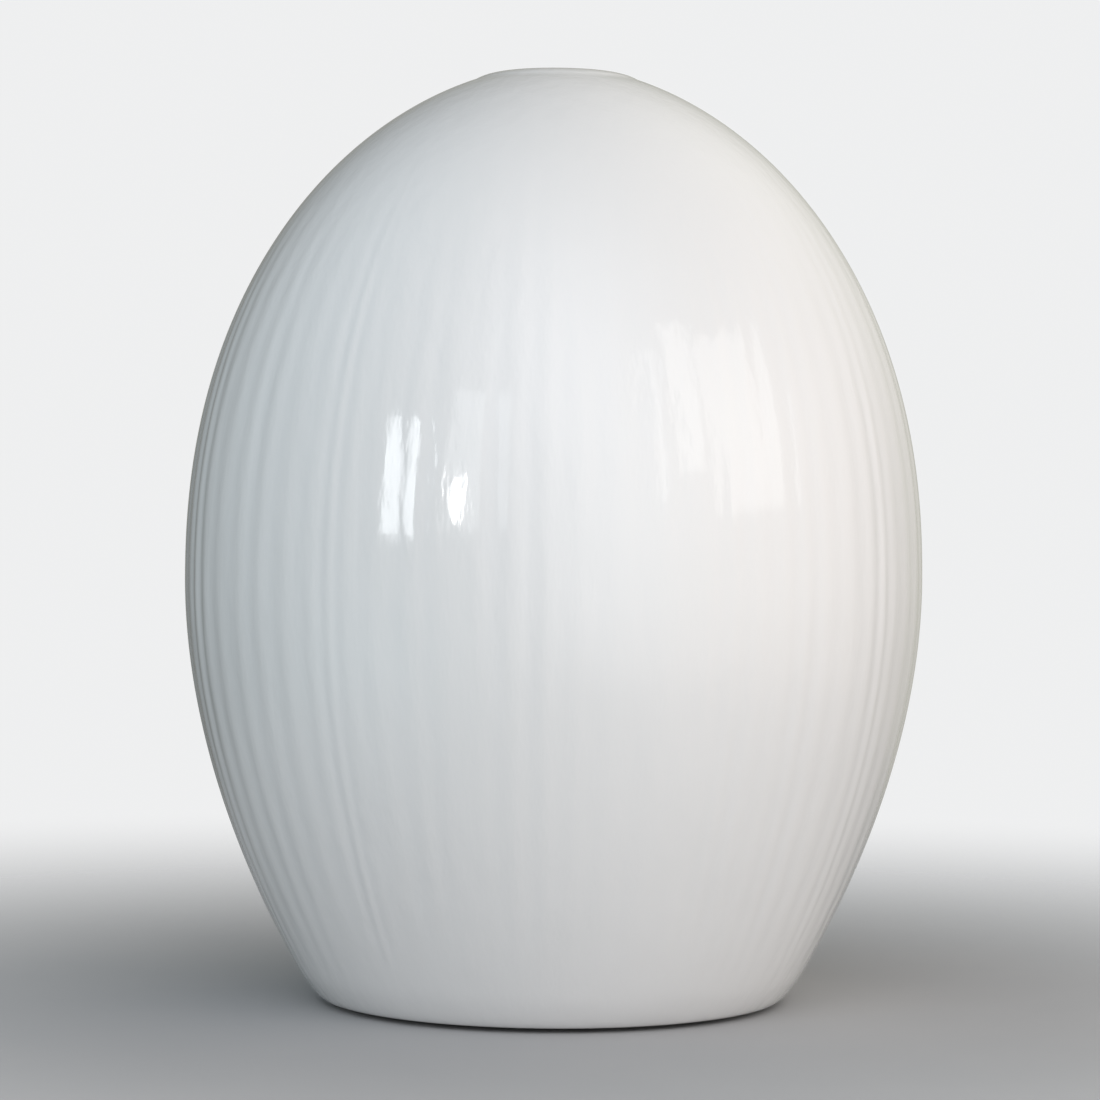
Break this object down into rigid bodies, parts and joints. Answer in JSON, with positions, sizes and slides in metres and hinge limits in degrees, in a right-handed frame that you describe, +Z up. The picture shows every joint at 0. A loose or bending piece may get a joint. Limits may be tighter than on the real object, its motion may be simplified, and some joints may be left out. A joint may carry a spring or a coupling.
{
  "type": "kitchen timer",
  "caption": "Egg-shaped clockwork kitchen timer with a glossy white fluted body that twists on its foot to set the minutes.",
  "frame": {"origin": "centre of the footprint on the table", "axes": "+Z up through the crown, +X through the index on the rim at rest"},
  "size_m": [0.0594, 0.0594, 0.075],
  "materials": {
    "egg_glaze": "high gloss, glaze-like white with soft hand-cut flutes",
    "pan_plastic": "fine moulded satin",
    "dial_card": "printed satin ring",
    "index_red": "gloss",
    "foot_rubber": "matt moulded rubber",
    "brass": "rolled and lightly brushed",
    "steel": "turned bright steel",
    "spring_steel": "blued and oiled",
    "bell_nickel": "nickel-plated and polished"
  },
  "bodies": {
    "base": {"foot_ring": "foot_rubber", "base_pan": "pan_plastic", "dial_ring": "dial_card", "base_screw_1": "steel", "base_screw_2": "steel", "base_screw_3": "steel", "lower_plate": "brass", "upper_plate": "brass", "lower_bush": "brass", "upper_bush": "brass", "pillar_1": "steel", "pillar_2": "steel", "pillar_3": "steel", "pillar_nut_1": "brass", "pillar_nut_2": "brass", "pillar_nut_3": "brass", "spring_post": "steel", "stop_pin": "steel", "mainspring": "spring_steel", "hammer_spring": "spring_steel", "release_spring": "spring_steel", "bell_post": "steel", "bell": "bell_nickel", "bell_nut": "steel"},
    "egg": {"egg_shell": "egg_glaze", "index_pip": "index_red", "drive_column": "pan_plastic", "main_arbor": "steel", "arbor_collar": "steel", "ratchet_wheel": "spring_steel", "release_cam": "steel", "stop_arm": "steel"},
    "main_wheel": {"main_wheel": "brass", "click_post": "steel", "click_spring": "spring_steel"},
    "click": {"click": "steel"},
    "second_wheel": {"second_arbor": "steel", "second_pinion": "steel", "second_wheel": "brass", "strike_star": "steel"},
    "third_wheel": {"third_arbor": "steel", "third_pinion": "steel", "third_wheel": "brass"},
    "escape_wheel": {"escape_arbor": "steel", "escape_pinion": "steel", "escape_wheel": "brass"},
    "anchor": {"anchor_arbor": "steel", "anchor": "steel", "inertia_bob": "brass"},
    "hammer": {"hammer_arbor": "steel", "hammer_lever": "steel", "hammer_arm": "steel", "hammer_head": "brass"},
    "release_lever": {"release_arbor": "steel", "release_lever": "steel"}
  },
  "joints": [
    {"name": "egg_turn", "type": "hinge", "parent": "base", "child": "egg", "pos_m": [0, 0, 0.034], "axis": [0, 0, 1], "range_deg": [-330, 0]},
    {"name": "main_wheel_turn", "type": "hinge", "parent": "base", "child": "main_wheel", "pos_m": [0, 0, 0.0146], "axis": [0, 0, 1], "continuous": true},
    {"name": "click_swing", "type": "hinge", "parent": "main_wheel", "child": "click", "pos_m": [-0.00554, 0.0032, 0.016], "axis": [0, 0, 1], "range_deg": [0, 12]},
    {"name": "second_wheel_turn", "type": "hinge", "parent": "base", "child": "second_wheel", "pos_m": [0.0112, 0, 0.015], "axis": [0, 0, 1], "continuous": true},
    {"name": "third_wheel_turn", "type": "hinge", "parent": "base", "child": "third_wheel", "pos_m": [0.00883, 0.00688, 0.015], "axis": [0, 0, 1], "continuous": true},
    {"name": "escape_wheel_turn", "type": "hinge", "parent": "base", "child": "escape_wheel", "pos_m": [0.0033, 0.0107, 0.015], "axis": [0, 0, 1], "continuous": true},
    {"name": "anchor_swing", "type": "hinge", "parent": "base", "child": "anchor", "pos_m": [-0.0032, 0.01073, 0.015], "axis": [0, 0, 1], "range_deg": [-6, 6]},
    {"name": "hammer_swing", "type": "hinge", "parent": "base", "child": "hammer", "pos_m": [0.00792, -0.00792, 0.015], "axis": [0, 0, -1], "range_deg": [0, 9]},
    {"name": "release_lever_swing", "type": "hinge", "parent": "base", "child": "release_lever", "pos_m": [-0.0029, -0.01082, 0.015], "axis": [0, 0, 1], "range_deg": [0, 6]}
  ],
  "couplings": [
    {"joint": "main_wheel_turn", "follows": "egg_turn", "ratio": 1},
    {"joint": "second_wheel_turn", "follows": "egg_turn", "ratio": -6},
    {"joint": "third_wheel_turn", "follows": "egg_turn", "ratio": 36},
    {"joint": "escape_wheel_turn", "follows": "egg_turn", "ratio": -216}
  ]
}
